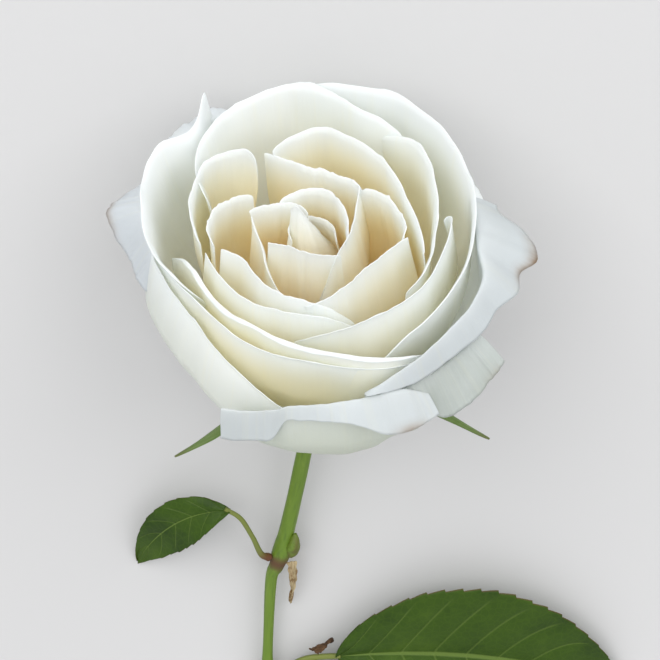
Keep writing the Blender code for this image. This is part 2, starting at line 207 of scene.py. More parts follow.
def cubic(p0, p1, p2, p3, t):
    """The curve from p1 at t = 0 to p2 at t = 1: a cubic in t whose slope at each of the two is half the
    difference of its neighbours."""
    bend = 2 * p0 - 5 * p1 + 4 * p2 - p3
    return 0.5 * (2 * p1 + (p2 - p0) * t + bend * t * t + (3 * p1 - p0 - 3 * p2 + p3) * t ** 3)


def smooth_line(points, steps):
    """A curve through every row of points, all columns alike: a cubic from each row to the next, sampled
    steps times."""
    points = np.asarray(points, float)
    padded = with_ends(points)
    corners = [padded[k:len(points) - 1 + k, None] for k in range(4)]
    rows = cubic(*corners, (np.arange(steps) / steps)[None, :, None])
    return np.concatenate([rows.reshape(-1, points.shape[1]), points[-1:]])


def tube(rows, sides, ripple, **marks):
    """A closed round tube along rows of x, y, height and radius. Ring point = middle + radius * (1 + ripple) *
    (side * cos(turn) + upper * sin(turn)), where ripple is a function of the turn and of v. Two smaller rings
    and a middle point close each end. It carries v, the length from 0 to 1, u, which falls from 1 to 0 and
    comes back once around, and end, which is 1 on the flat ends and 0 along the side."""
    line, radius = rows[:, :3] + HIP_FOOT, rows[:, 3]
    ahead = unit(np.gradient(line, axis=0))
    side = unit(np.cross(ahead, [0.0, 0.0, 1.0]))
    upper = np.cross(side, ahead)
    turn = 2 * np.pi * np.arange(sides) / sides
    along = np.linspace(0, 1, len(rows))
    swell = 1 + ripple(turn[None, :], along[:, None])
    round_part = np.cos(turn)[None, :, None] * side[:, None] + np.sin(turn)[None, :, None] * upper[:, None]
    rings = line[:, None] + round_part * (radius[:, None] * swell)[..., None]
    ends = np.zeros(len(rows))
    last_share = 1.0
    for share in CUT_RINGS:
        first = line[:1, None] + (rings[:1] - line[:1, None]) * share / last_share
        last = line[-1:, None] + (rings[-1:] - line[-1:, None]) * share / last_share
        rings = np.concatenate([first, rings, last])
        line = np.concatenate([line[:1], line, line[-1:]])
        along = np.concatenate([[0.0], along, [1.0]])
        ends = np.concatenate([[1.0], ends, [1.0]])
        last_share = share
    index = np.arange(rings.shape[0] * sides).reshape(-1, sides)
    points = np.concatenate([rings.reshape(-1, 3), line[:1], line[-1:]])
    values = {
        "u": np.append(np.broadcast_to(np.abs(turn / np.pi - 1), index.shape).ravel(), [0.5, 0.5]),
        "v": np.append(np.repeat(along, sides), [0.0, 1.0]),
        "end": np.append(np.repeat(ends, sides), [1.0, 1.0]),
    }
    values.update({name: np.full(len(points), value) for name, value in marks.items()})
    return points, closed_round(index), values


def piece(name, parts, material, node):
    """One mesh object made of parts. A part has points in millimetres, faces of four point numbers, the last
    of them -1 in a triangle, and the values that its points carry. The piece rides on the flower, takes its
    finish from a slot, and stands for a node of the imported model."""
    counts = np.cumsum([0] + [len(points) for points, _, _ in parts])
    points = np.concatenate([points for points, _, _ in parts]) * MM
    faces = [np.where(part[1] < 0, -1, part[1] + start) for part, start in zip(parts, counts)]
    faces = np.concatenate(faces)
    corners = faces[faces >= 0]
    sizes = (faces >= 0).sum(axis=1)
    mesh = bpy.data.meshes.new(name)
    mesh.vertices.add(len(points))
    mesh.vertices.foreach_set("co", points.ravel())
    mesh.loops.add(len(corners))
    mesh.loops.foreach_set("vertex_index", corners)
    mesh.polygons.add(len(faces))
    mesh.polygons.foreach_set("loop_start", np.cumsum(sizes) - sizes)
    mesh.update(calc_edges=True)
    mesh.validate()
    for mark in parts[0][2]:
        values = np.concatenate([part[2][mark] for part in parts])
        mesh.attributes.new(mark, "FLOAT", "POINT").data.foreach_set("value", values)
    mesh.shade_smooth()
    mesh.materials.append(material)
    thing = bpy.data.objects.new(name, mesh)
    bpy.context.scene.collection.objects.link(thing)
    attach(thing, "root")
    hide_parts(node)


def stem_skin():
    """Waxy green skin: long pale and dark streaks, brown scars round the swellings, pale pith in the cut."""
    skin = Finish("stem skin", specular_ior_level=0.45)
    streaks = skin.grain(skin.sheet_place(9.0, 26.0), 1.0, 4.0)
    blotches = skin.grain(skin.place(y=0.35), 260.0)
    pores = skin.grain(skin.place(y=0.5), 1500.0, 2.0)
    colour = skin.blend(STEM_DARK, STEM_GREEN, skin.ease(streaks, 0.30, 0.50))
    colour = skin.blend(colour, STEM_PALE, skin.ease(streaks, 0.52, 0.80) * 0.40)
    colour = skin.blend(colour, STEM_PALE, skin.ease(blotches, 0.58, 0.70) * 0.35)
    scar = skin.mark("scar") * skin.ease(blotches + skin.mark("scar") * 0.5, 0.55, 0.80)
    colour = skin.blend(colour, STEM_SCAR, scar)
    colour = skin.blend(colour, STEM_PITH, skin.mark("end"))
    roughness = 0.42 + streaks * 0.12 + scar * 0.25 + skin.mark("end") * 0.3
    relief = streaks * 0.6 + pores * 0.4 + scar * 0.5
    return skin.finished(colour, roughness, relief, distance=0.00025, strength=0.7)


def scar_strength(y, scar):
    """A bell over the distance along the stem from a scar, which is given as its place and its half width."""
    return np.exp(-((y - scar[0]) / scar[1]) ** 2)


def stem_ripple(turn, along):
    """Three low sine waves that run round and along the stem and make it a little uneven."""
    ridges = 0.018 * np.sin(3 * turn + 9 * along) + 0.012 * np.sin(5 * turn - 31 * along)
    return ridges + 0.02 * np.sin(2 * turn + 55 * along) * np.sin(23 * along)


def bud_ripple(turn, along):
    """One slanting wave that fades at both ends, and three bulges along the bud, one for each scale."""
    return 0.10 * np.sin(turn * 2 + along * 7) * np.sin(np.pi * along) + 0.07 * np.abs(np.sin(9.4 * along))


stem_line = smooth_line(STEM_LINE, steps=18)
stem_body = tube(stem_line, STEM_SIDES, stem_ripple)
scar = scar_strength(stem_line[:, 1], UPPER_SCAR) + 0.7 * scar_strength(stem_line[:, 1], LOWER_SCAR)
stem_body[2]["scar"] = np.append(np.repeat(np.pad(scar, len(CUT_RINGS)), STEM_SIDES), [0.0, 0.0])
bud_body = tube(smooth_line(STEM_BUD, steps=10), BUD_SIDES, bud_ripple, scar=0.55)
bud_body[2]["end"][:] = 0.0
for body, seed in ((stem_body, 1.0), (bud_body, 2.0)):
    body[2]["seed"] = np.full(len(body[0]), seed)
piece("stem", [stem_body, bud_body], stem_skin(), "stem")

# The hip and the sepals. The green cup that holds the petals, with five narrow leaves that folded back when
# the flower opened. Soft green tissue, grown in one with the stem: dull and finely haired on the outside.

AXIS_RISE = 30.0
AXIS_LEAN = 4.0
LEAN_ABOUT = 65.0
HIP_HEIGHT = 32.6
HIP_PROFILE = [(5.6, -0.3), (6.3, -1.3), (6.35, -2.8), (6.1, -4.6), (5.6, -7.0), (4.6, -9.6), (3.2, -11.8),
               (2.4, -13.0)]
SEPALS = [
    (-144.0, 2.7, [(5.6, -2.2), (28.0, -9.0), (53.5, -10.0)]),
    (-32.0, 2.5, [(5.6, -2.2), (30.0, -9.5), (57.5, -10.0)]),
    (36.0, 3.6, [(5.6, -2.2), (25.0, -8.0), (42.0, -20.0)]),
    (96.0, 3.6, [(5.6, -2.2), (20.0, -8.0), (17.0, -36.0)]),
    (158.0, 3.4, [(5.6, -2.2), (25.0, -8.0), (42.0, -20.0)]),
]
SEPAL_REST = 0.5
CALYX_GREEN = (0.105, 0.170, 0.040)
CALYX_PALE = (0.270, 0.340, 0.150)


def turned(vector, about, angle):
    """The vector turned about a unit axis by an angle in degrees."""
    cosine, sine = math.cos(math.radians(angle)), math.sin(math.radians(angle))
    return vector * cosine + np.cross(about, vector) * sine + about * np.dot(about, vector) * (1 - cosine)


def forwards(elevation):
    """The direction in the YZ plane that rises from +Y by an angle in degrees."""
    return np.array([0.0, math.cos(math.radians(elevation)), math.sin(math.radians(elevation))])


AXIS = turned(forwards(AXIS_RISE), forwards(LEAN_ABOUT), AXIS_LEAN)
ACROSS = turned(np.array([1.0, 0.0, 0.0]), forwards(LEAN_ABOUT), AXIS_LEAN)
UNDER = np.cross(AXIS, ACROSS)
HIP = HIP_FOOT + np.array([0.0, 0.0, HIP_HEIGHT])


def from_bloom(radius, azimuth, height):
    """Points given about the bloom's axis by radius, azimuth in radians and height."""
    across = (radius * np.cos(azimuth))[..., None] * ACROSS
    under = (radius * np.sin(azimuth))[..., None] * UNDER
    return HIP + across + under + np.asarray(height)[..., None] * AXIS


def arc(line, t):
    """The quadratic curve from a line's first point to its last, drawn to its middle one, and its direction."""
    start, bend, end = [np.asarray(point, float) for point in line]
    t = np.asarray(t)[..., None]
    place = (1 - t) ** 2 * start + 2 * t * (1 - t) * bend + t * t * end
    return place, 2 * (1 - t) * (bend - start) + 2 * t * (end - bend)


def thin_shell(points, thickness, u, v, **marks):
    """A closed thin shell: each point of a sheet is moved half its thickness along the sheet's normal to both
    sides, and a strip of faces closes the edge. It carries u, v and back, which is 1 on the side that the
    normal, the cross product of the two directions of the grid, points to."""
    normal = unit(np.cross(np.gradient(points, axis=0), np.gradient(points, axis=1)))
    half = np.broadcast_to(thickness, points.shape[:2])[..., None] / 2 * normal
    index = np.arange(u.size).reshape(u.shape)
    edge = np.concatenate([index[:-1, 0], index[-1, :-1], index[:0:-1, -1], index[0, :0:-1]])
    after = np.roll(edge, -1)
    strip = np.stack([after, edge, edge + u.size, after + u.size], -1)
    faces = np.concatenate([quads(index), quads(index)[:, ::-1] + u.size, strip])
    shell = np.concatenate([(points + half).reshape(-1, 3), (points - half).reshape(-1, 3)])
    values = {"u": np.tile(u.ravel(), 2), "v": np.tile(v.ravel(), 2)}
    values["back"] = np.repeat([1.0, 0.0], u.size)
    for name, value in marks.items():
        values[name] = np.tile(np.broadcast_to(value, u.shape).ravel(), 2)
    return shell, faces, values


def sepal_sheet(azimuth, half_width, line, seed, columns=13, rows=61):
    """A sepal: v runs along an arc under the bloom and u across it. The half width falls to the tip as
    (1 - v) ** 0.8, the edges turn down by the square of u, and the tip twists and wavers a little."""
    u, v = np.meshgrid(np.linspace(-1, 1, columns), np.linspace(0, 1, rows), indexing="ij")
    place, _ = arc(line, v)
    half = half_width * (1 - v) ** 0.8 * (0.75 + 0.5 * v) + 0.22
    half = half * (1 + 0.10 * np.sin(19 * v + seed) * np.abs(u) ** 3)
    azimuth = math.radians(azimuth) + 0.03 * np.sin(4 * v + seed) * v
    height = place[..., 1] - 0.35 * half * u ** 2 + 0.5 * np.sin(7 * v + 2 * seed) * v
    points = from_bloom(place[..., 0], azimuth, height)
    sideways = np.cos(azimuth)[..., None] * UNDER - np.sin(azimuth)[..., None] * ACROSS
    points += (u * half)[..., None] * sideways
    points[..., 2] = np.maximum(points[..., 2], SEPAL_REST)
    return thin_shell(points, 0.75 - 0.35 * v, u, v, seed=seed, end=0.0, scar=0.0)


def hip_body(sides=40):
    """The hip: its profile turned about the bloom's axis, radius * (1 + five low ribs under the sepals). A
    smaller ring and a middle point close each end."""
    rows = smooth_line(HIP_PROFILE, steps=6)
    rows = np.concatenate([rows[:1] * [0.6, 1.0], rows, rows[-1:] * [0.5, 1.0]])
    turn = 2 * np.pi * np.arange(sides) / sides
    radius = rows[:, :1] * (1 + 0.025 * np.cos(5 * turn - 0.6)[None, :])
    rings = from_bloom(radius, turn[None, :] + 0 * radius, rows[:, 1:] + 0 * radius)
    index = np.arange(radius.size).reshape(radius.shape)
    ends = HIP + rows[[0, -1], 1:] * AXIS
    points = np.concatenate([rings.reshape(-1, 3), ends])
    blank = np.zeros(len(points))
    length = np.append(np.repeat(np.linspace(0, 0.4, len(rows)), sides), [0.0, 0.4])
    values = {"u": np.append(np.tile(np.abs(turn / np.pi - 1), len(rows)), [0.5, 0.5]), "v": length,
              "back": blank, "seed": blank + 9.0, "end": blank, "scar": blank}
    return points, closed_round(index), values


def calyx_skin():
    """Dull green tissue with fine long ribs and hairs, paler on the inside of the sepals and at their edges."""
    skin = Finish("calyx skin", specular_ior_level=0.3, sheen_weight=0.25, sheen_roughness=0.5)
    ribs = skin.grain(skin.sheet_place(7.0, 5.0), 1.0, 4.0)
    fuzz = skin.grain(skin.place(), 1800.0, 2.0)
    patches = skin.grain(skin.place(), 190.0)
    colour = skin.blend(CALYX_GREEN, CALYX_PALE, skin.ease(ribs, 0.42, 0.72) * 0.5)
    colour = skin.blend(colour, CALYX_PALE, skin.mark("back") * 0.35)
    colour = skin.blend(colour, STEM_SCAR, skin.ease(skin.mark("v"), 0.85, 1.0) * 0.4)
    colour = skin.blend(colour, STEM_DARK, skin.ease(patches, 0.55, 0.75) * 0.4)
    roughness = 0.6 + patches * 0.15
    relief = ribs * 0.6 + fuzz * 0.4
    return skin.finished(colour, roughness, relief, distance=0.0003, strength=0.7)


sepals = [sepal_sheet(azimuth, width, line, seed) for seed, (azimuth, width, line) in enumerate(SEPALS)]
piece("calyx", [hip_body()] + sepals, calyx_skin(), "calyx")

# The bloom. Petals of soft, dried and softened tissue, about a third of a millimetre thick at the rim. Each
# grows from a narrow root on the hip and wraps the ones inside it, and the outer ones roll their rims back.

ROOT_RADIUS = 4.0
ROOT_HEIGHT = 2.5
ROOT_SINK = 3.3
PETAL_LENGTH = 62.0
PETAL_THICKNESS = 0.30
CREAM_DEPTH, CREAM_RADIUS = 17.0, 50.0
PEACH_DEPTH, PEACH_RADIUS = 16.0, 31.0
PLAIN_RIM, PLAIN_RIM_LENGTH = 0.955, 0.045
CURL_TURN = 2.6
GOLDEN_ANGLE = 2.399
PETAL_WHITE = (0.925, 0.944, 0.947)
PETAL_CREAM = (0.985, 0.925, 0.61)
PETAL_PEACH = (0.99, 0.84, 0.56)
PETAL_GREEN = (0.68, 0.715, 0.635)
PETAL_COOL = (0.64, 0.68, 0.72)
PETAL_GREY = (0.46, 0.50, 0.44)
PETAL_BROWN = (0.33, 0.20, 0.09)
PETAL_USUAL = dict(
    hinge=0.78,            # Share of the petal's length at which a rolled margin starts.
    lift=6.0,              # How far the margin goes on along the wall before it turns over.
    corner=0.5,            # Share of the margin that is lost at both ends of the span.
    belly=1.06, out=1.5,   # Radius of the wall's widest part, as a share of the rim's, and what is added.
    low=0.0,               # How much the wall's foot is raised.
    narrow=0.85,           # Share of the span that the root takes up.
    drop=0.0,              # How far the rim falls at both ends of the span.
    rounded=0.02,          # Share of the petal's length that is lost at its corners.
    wave=0.5,              # Size of the slow waves along the rim.
    flare=1.2,             # How much the wall leans in just below the rim.
    roll=0.7,              # How far a plain rim turns out at its very edge.
    curl=(0.0, 0.0),       # Radius on which the side edges at the start and the end roll in over the petal.
    shift=(0.0, 0.0),      # How far the rim is moved across the bloom and towards its underside.
    rest=None,             # Height at which the petal is pressed flat on the table, if it is.
    green=0.0, cool=0.0,   # Strength of the green on the back and of the painted cool shade near the edge.
    grey=0.0, cream=1.0,   # Strength of the painted grey shade near the edge, and of the cream and peach inside, partly painted warm shade.
    brown=(0.0, 0.0, 1.0)  # Strength of a dry brown edge, and its place and width in u.
)


def petal(az, r, h, lip_r=None, lip_h=None, **own):
    """One petal's measures, the usual ones where it has none of its own. az is its span of azimuths in
    degrees. r and h are the radius and the height of its rim, as values spaced evenly over that span, and
    lip_r and lip_h are the same for the edge of a margin that rolls outwards. lift and out may be such rows
    of values too."""
    return {**PETAL_USUAL, "az": az, "r": r, "h": h, "lip_r": lip_r, "lip_h": lip_h, **own}


HEART_PETALS = [
    petal((168, 392), (2.5, 0.9, 5.5), (60, 60.5, 44), belly=0.6, out=(6, 9, 14), drop=1, shift=(-2.0, 3.4),
          wave=0.1, flare=0.0),
    petal((0, 200), (7, 5.5, 5), (50, 53, 54), belly=0.6, out=7.5, drop=1, wave=0.3, flare=0.4),
    petal((92, 158), (4.0, 6.5, 9.3, 12.0, 17.5), (57, 57, 57, 57, 56.5), wave=0.2),
    petal((202, 308), (12.3, 8.9, 9.2, 10.7, 13.0), (57, 57, 57, 57, 56), out=4.5, wave=0.2, roll=0.3),
    petal((166, 262), (15.7, 13.8, 13.9, 15.9, 18.8, 22.0), (58, 55.4, 53.3, 51.2, 49.5, 47), out=3.5,
          wave=0.2),
    petal((-35, 134), (11.7, 10.4, 10.1, 11.2, 11.8, 11.3, 11.0), (57.5,), out=2.5, wave=0.25),
    petal((-84, 38), (13.5, 12.6, 11.3, 11.6, 11.9, 13.4, 17.8), (41, 54, 57.2, 57.9, 58.3, 58.5, 59.5),
          out=5.0, wave=0.2),
    petal((34, 113), (18.2, 18.2, 18.0, 18.2, 18.9, 22.3, 29.0), (58, 57.8, 57.7, 57.6, 57.5, 57.3, 57),
          out=2.0, wave=0.3),
]
INNER_PETALS = [
    petal((-22, 38), (23.0, 26.0, 25.4, 24.2, 22.9, 21.2, 17.5), (49, 56.5, 57, 57, 57, 57, 57), out=2.0,
          wave=0.3),
    petal((-104, -13), (24.6, 26.2, 24.9, 23.1, 21.9, 21.4, 22.1, 23.9, 27.2),
          (52, 55.8, 56.2, 56.4, 56.5, 56.6, 56.7, 56.9, 57), out=5.0, wave=0.2, roll=0.3),
    petal((196, 292), (25.3, 21.4, 22.2, 23.5, 24.4, 26.0, 27.0, 28.0),
          (58.5, 57.7, 57.5, 57.3, 57.2, 57, 54, 46), out=5.0, wave=0.2, roll=0.0),
    petal((192, 296), (29.2, 28.9, 28.8, 29.1, 28.7, 29.0, 30.0, 31.0),
          (56.5, 56, 55.7, 55.5, 55.3, 55, 52, 45), out=4.0, wave=0.2, roll=0.2),
    petal((140, 188), (19.5, 24.0, 26.9, 27.4, 26.7), (56,), out=2.0, wave=0.3),
    petal((-22, 109), (33.0, 30.0, 27.6, 27.5, 28.3, 29.5, 31.2, 33.1, 30.4, 27.0),
          (57.5, 58, 58, 58.2, 58.3, 58.4, 58.6, 58.7, 58.8, 59), wave=0.3),
    petal((117, 184), (27.5, 33.4, 35.9, 35.2, 33.8, 32.0, 30.0), (60, 58.7, 58.1, 57.7, 57.4, 57.2, 56),
          narrow=0.1, wave=0.3, curl=(1.3, 0.0)),
    petal((-42, 57), (34.0, 34.8, 34.8, 34.6, 35.4, 37.3, 39.7, 41.2, 41.3),
          (54, 56.3, 56.5, 56.7, 56.8, 57, 57.0, 56.0, 52.0), belly=1.0, out=0.5, wave=0.4),
    petal((-101, 4), (33.6, 34.6, 34.6, 34.9, 36.1, 37.2, 37.5, 38.3, 39.4),
          (49, 53.8, 55.4, 56, 56.3, 56.7, 57.2, 58.0, 56.5), out=(-4, 2, 3, 3, 3), wave=0.2, rounded=0.05,
          curl=(0.0, 1.5)),
]
CUP_PETALS = [
    petal((176, 306), (39.0, 35.3, 33.9, 33.7, 33.9, 34.2, 34.6, 35.7, 37.2, 39.6, 43.0, 45.8, 47.5),
          (41.0, 50.0, 53.0, 53.3, 53.0, 52.7, 52.3, 52.1, 51.9, 51.6, 51.3, 49.8, 45.5),
          (39.8, 36.2, 35.0, 34.8, 34.9, 35.1, 35.5, 36.7, 38.3, 40.6, 44.0, 46.8, 48.5),
          (41.0, 50.0, 53.0, 53.2, 52.9, 52.5, 52.1, 51.8, 51.6, 51.3, 51.0, 49.6, 45.5), lift=1.5, hinge=0.92,
          corner=0, green=0.1, wave=0.3, rounded=0.05, cream=1.6),
    petal((178, 308), (44.2, 41.3, 38.7, 36.9, 36.5, 36.8, 37.6, 38.3, 39.3, 41.2, 44.0, 46.5, 47.6),
          (53.0, 52.3, 51.8, 51.3, 50.8, 50.5, 50.0, 49.4, 48.8, 48.2, 47.6, 46.0, 43.5), green=0.1, wave=0.3,
          cream=2.4),
    petal((-67, 93),
          (42.5, 43.6, 43.8, 43.6, 43.7, 44.1, 44.6, 45.2, 45.9, 46.8, 47.3, 48.2, 49.5, 50.2, 51.3, 50.3, 49.7,
           50.3, 51.5),
          (46, 52.5, 54.4, 55, 55.3, 55.8, 56.3, 57, 57.4, 57.8, 58, 58, 58, 58, 58, 58, 57.8, 57, 55), lift=2,
          belly=1.0, out=(-3, 1.0, 1.0, 0, 0), green=0.3, wave=0.4, cream=0.5),
    petal((50, 154), (43.0, 41.6, 42.6, 46.0, 48.6, 50.4, 49.8, 48.5, 46.9, 44.2, 41.5, 37.0, 31.5),
          (53, 57.6, 58, 57.9, 57.7, 57.5, 57.2, 56.9, 56.7, 56.5, 56.4, 56.1, 55), belly=0.93,
          out=(3, 0.5, 0.5), green=0.3, wave=0.5, cream=0.3),
    petal((119, 209), (57.0, 49.8, 48.0, 51.3, 50.8, 49.2, 47.2, 46.1, 45.0, 43.2, 41.0, 38.6, 35.5),
          (59, 57.9, 57.6, 57.3, 56.8, 56.6, 56.4, 56.2, 56.1, 55.9, 55.3, 53.5, 50), belly=0.92,
          out=(0, 0, -1), narrow=1.15, green=0.3, wave=0.3, cream=0.3),
]
OUTER_PETALS = [
    petal((-76, 11), (48.5, 48.6, 49.4, 49.6, 50.2, 49.8, 46.6, 45.9, 46.0),
          (42.1, 45.1, 48.3, 49.0, 48.5, 49.5, 51.3, 51.1, 50.5),
          (50.5, 50.5, 50.7, 50.9, 51.2, 51.6, 52.0, 52.3, 52.8, 53.2, 53.9, 54.5, 54.9, 54.8, 55.5, 57.4, 59.1,
           58.6, 58.8, 62.5, 63.1, 61.2, 58.6, 53.8, 53.8),
          (43.2, 42.2, 41.8, 41.8, 42.1, 42.6, 43.1, 43.5, 43.9, 44.3, 44.1, 43.7, 43.5, 43.5, 43.5, 43.4, 43.0,
           43.0, 43.0, 42.1, 41.8, 43.0, 44.6, 47.0, 47.0), lift=(0.5, 4, 6, 6, 6), low=-3, cream=0.1, corner=0,
          wave=0.2, green=0.25, cool=0.9, grey=0.22, rounded=0, brown=(1.0, 0.60, 0.16)),
    # The flap at the right turns from the light, so its margin carries the most painted grey shade.
    petal((-64, -33), (49.6, 50.0, 50.6, 51.5, 53.0), (38, 38.4, 38.7, 39.3, 40),
          (56.0, 56.9, 58.2, 59.5, 60.4, 60.9, 61.2), (30.7, 30.0, 27.6, 28.6, 30.4, 31.6, 32.2),
          lift=(4, 4, 1), out=-2, low=-4, cream=0.1, corner=0, wave=0.2, green=0.2, cool=0.7, grey=0.8,
          rounded=0, brown=(0.3, 0.8, 0.3)),
    petal((-121, -57), (52.5, 51.7, 50.7, 49.9, 49.5, 49.5, 49.9, 50.5, 53.0),
          (36.3, 37.8, 39.7, 40.7, 40.9, 40.5, 40.8, 40.7, 35.5),
          (55.0, 54.8, 54.3, 53.8, 53.3, 52.0, 52.0, 52.0, 52.5, 53.3, 54.4, 55.9, 57.6, 58.5, 58.9, 58.4,
           58.0),
          (24.8, 25.8, 28.0, 28.8, 29.7, 36.6, 37.7, 38.2, 38.2, 37.9, 37.1, 35.8, 33.8, 32.6, 32.0, 31.7,
           32.4), lift=3, out=(-6.5, 0.5, 3.5, 3.5, -1), low=-7, cream=0.1, narrow=0.75, corner=0, wave=0.2,
          green=1.0, cool=0.8, grey=0.2, rounded=0, brown=(0.6, 0.72, 0.12)),
    petal((176, 257), (44.0, 42.0, 39.6, 38.7, 39.8, 42.3, 46.4), (48.5, 49.5, 46.8, 44.0, 41.4, 38.9, 36.0),
          out=(8, 8, 8, 8, 4), low=-3, cream=0.1, wave=0.3, green=0.5, rounded=0),
    petal((153, 188), (50.7, 48.7, 46.6, 44.2, 40.9), (50.0, 49.8, 48.4, 45.8, 41.0),
          (54.5, 58.5, 60.5, 57.2, 53.6, 51.1, 49.8, 47.5, 41.8),
          (46.0, 45.5, 44.8, 41.7, 39.2, 37.9, 36.8, 34.9, 31.0), lift=5, low=-3, cream=0.1, corner=0, wave=0.2,
          green=0.3, cool=0.9, rounded=0, brown=(0.5, -0.5, 0.3)),
    petal((110, 148), (52, 53, 51.5), (46, 47, 46), (57, 58, 54.5), (47, 48, 48), lift=5, low=-3, cream=0.1,
          rest=0.95, green=0.4, cool=0.5, drop=4),
    petal((62, 130), (53, 54, 53), (38, 39, 38), (58, 59, 58), (38, 40, 38), low=-3, cream=0.1, rest=0.325,
          green=0.5, drop=4),
    petal((14, 74), (51, 53, 53), (34, 38, 39), (53.5, 57, 58), (34, 38, 39), low=-3, cream=0.1, rest=0.65,
          green=0.5, drop=4),
]


def through(values, u):
    """The curve through values spaced evenly over u from -1 to 1. One value is a constant, three are a
    parabola, and more are joined by cubics."""
    values = np.atleast_1d(np.asarray(values, float))
    if len(values) == 1:
        return values[0] + 0 * u
    if len(values) == 3:
        first, middle, last = values
        return middle + (last - first) / 2 * u + ((last + first) / 2 - middle) * u * u
    padded = with_ends(values)
    place = (u + 1) / 2 * (len(values) - 1)
    k = np.clip(place.astype(int), 0, len(values) - 2)
    return cubic(padded[k], padded[k + 1], padded[k + 2], padded[k + 3], place - k)


def petal_sheet(p, seed, columns=72, rows=54):
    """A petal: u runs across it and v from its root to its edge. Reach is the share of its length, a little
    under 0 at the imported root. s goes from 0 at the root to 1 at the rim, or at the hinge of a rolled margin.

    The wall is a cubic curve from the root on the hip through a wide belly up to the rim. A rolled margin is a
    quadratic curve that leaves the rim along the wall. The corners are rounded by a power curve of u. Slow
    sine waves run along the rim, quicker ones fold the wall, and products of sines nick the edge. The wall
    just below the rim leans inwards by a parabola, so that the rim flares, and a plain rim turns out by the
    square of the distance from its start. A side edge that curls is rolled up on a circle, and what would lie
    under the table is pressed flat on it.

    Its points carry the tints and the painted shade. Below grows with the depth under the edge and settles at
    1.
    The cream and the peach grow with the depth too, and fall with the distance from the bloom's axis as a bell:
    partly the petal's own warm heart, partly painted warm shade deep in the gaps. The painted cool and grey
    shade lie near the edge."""
    turn = np.linspace(-1, 1, columns)
    rise = np.linspace(0, 1, rows)
    u = np.concatenate([[-1.0], (0.8 * turn + 0.2 * np.sin(np.pi * turn / 2)) * 0.994, [1.0]])
    v = np.append((0.5 * rise + 0.5 * np.sin(np.pi * rise / 2)) * 0.994, 1.0)
    u, v = np.meshgrid(u, v, indexing="ij")
    a, b, c, d = [GOLDEN_ANGLE * (seed + 1) * k for k in (1.0, 1.7, 2.3, 3.1)]
    plain = p["lip_r"] is None

    hinge = 1.0 if plain else p["hinge"]
    top = 1 - p["rounded"] * (1 - (1 - np.abs(u) ** 5) ** 0.4)
    top = top + 0.004 * p["wave"] * np.sin(17 * u + a) * np.sin(7 * u + c)
    reach = -0.25 * hinge + (top + 0.25 * hinge) * v
    s = np.clip(0.2 + 0.8 * reach / hinge, 0, 1)
    q = 1 - s

    rim_r = through(p["r"], u)
    rim_h = through(p["h"], u) - p["drop"] * u ** 4
    belly = rim_r * p["belly"] + through(p["out"], u)
    high = ROOT_HEIGHT + 0.6 * (rim_h - ROOT_HEIGHT)
    rho = q ** 3 * ROOT_RADIUS + (2.76 * q * q * s + 3 * q * s * s) * belly + s ** 3 * rim_r
    height = q ** 3 * ROOT_HEIGHT + 3 * q * q * s * (ROOT_HEIGHT + p["low"]) - ROOT_SINK * q ** 8
    height = height + 3 * q * s * s * high + s ** 3 * rim_h
    if not plain:
        wall_r, wall_h = rim_r - belly, rim_h - high
        lift = through(p["lift"], u) / np.hypot(wall_r, wall_h)
        fade = 1 - p["corner"] * u ** 6
        end_r = rim_r + (through(p["lip_r"], u) - rim_r) * fade
        end_h = rim_h + (through(p["lip_h"], u) - rim_h) * fade
        w = np.clip((reach - hinge) / (1 - hinge), 0, 1)
        roll_r = (1 - w ** 2) * rim_r + 2 * w * (1 - w) * lift * wall_r + w ** 2 * end_r
        roll_h = (1 - w ** 2) * rim_h + 2 * w * (1 - w) * lift * wall_h + w ** 2 * end_h
        rho = np.where(reach > hinge, roll_r, rho)
        height = np.where(reach > hinge, roll_h, height)

    wave_r = p["wave"] * (0.55 * np.sin(4.2 * u + a) + 0.45 * np.sin(9.7 * u + b) + 0.2 * np.sin(21 * u + c))
    wave_h = p["wave"] * (0.5 * np.sin(5.3 * u + c) + 0.35 * np.sin(11.3 * u + d))
    nick = 0.16 * np.sin(26 * u + b) * np.sin(11 * u + d) + 0.10 * np.sin(43 * u + a) * np.sin(17 * u + b)
    near = np.clip((s - 0.7) / 0.3, 0, 1)
    past = np.clip((reach - hinge) / (1.001 - hinge), 0, 1)
    rho = rho - p["flare"] * 2.5 * near * (1 - near) + wave_r * s ** 5
    rho = rho + 0.5 * np.sin(3.1 * u + d) * np.sin(7.5 * s + b) * 4 * s * (1 - s)
    rho = rho + (0.30 * np.sin(13 * u + c) + 0.22 * np.sin(21 * u + a)) * s ** 2 * (1 - s ** 6)
    rho = rho + 1.2 * nick * past ** 4
    height = height + wave_h * s ** 4 + nick * np.clip(reach / hinge, 0, 1) ** 8
    height = height + 0.9 * np.sin(8.3 * u + b) * np.sin(3.1 * u + c) * past
    if plain:
        rho = rho + p["roll"] * np.clip((reach - PLAIN_RIM) / PLAIN_RIM_LENGTH, 0, 1) ** 2

    narrow = p["narrow"] + (1 - p["narrow"]) * np.sin(s * np.pi / 2) ** 1.5
    first, last = p["az"]
    azimuth = np.radians((first + last) / 2 + (last - first) / 2 * u * narrow)
    for side, curl in ((-1, p["curl"][0]), (1, p["curl"][1])):
        curl = curl * s ** 3 + 1e-6
        from_edge = (1 - side * u) * rho * math.radians(last - first) / 2
        bend = np.clip(CURL_TURN - from_edge / curl, 0, CURL_TURN)
        azimuth = azimuth - side * curl * (bend - np.sin(bend)) / np.maximum(rho, 2)
        rho = rho - curl * (1 - np.cos(bend))
    points = from_bloom(np.maximum(rho, 0.4), azimuth, height)
    points += (s * s)[..., None] * (p["shift"][0] * ACROSS + p["shift"][1] * UNDER)
    if p["rest"] is not None:
        table_height = p["rest"] - 0.05 + 0.1 * np.abs(np.sin(5 * u + 9 * v))
        points[..., 2] = np.maximum(points[..., 2], table_height)
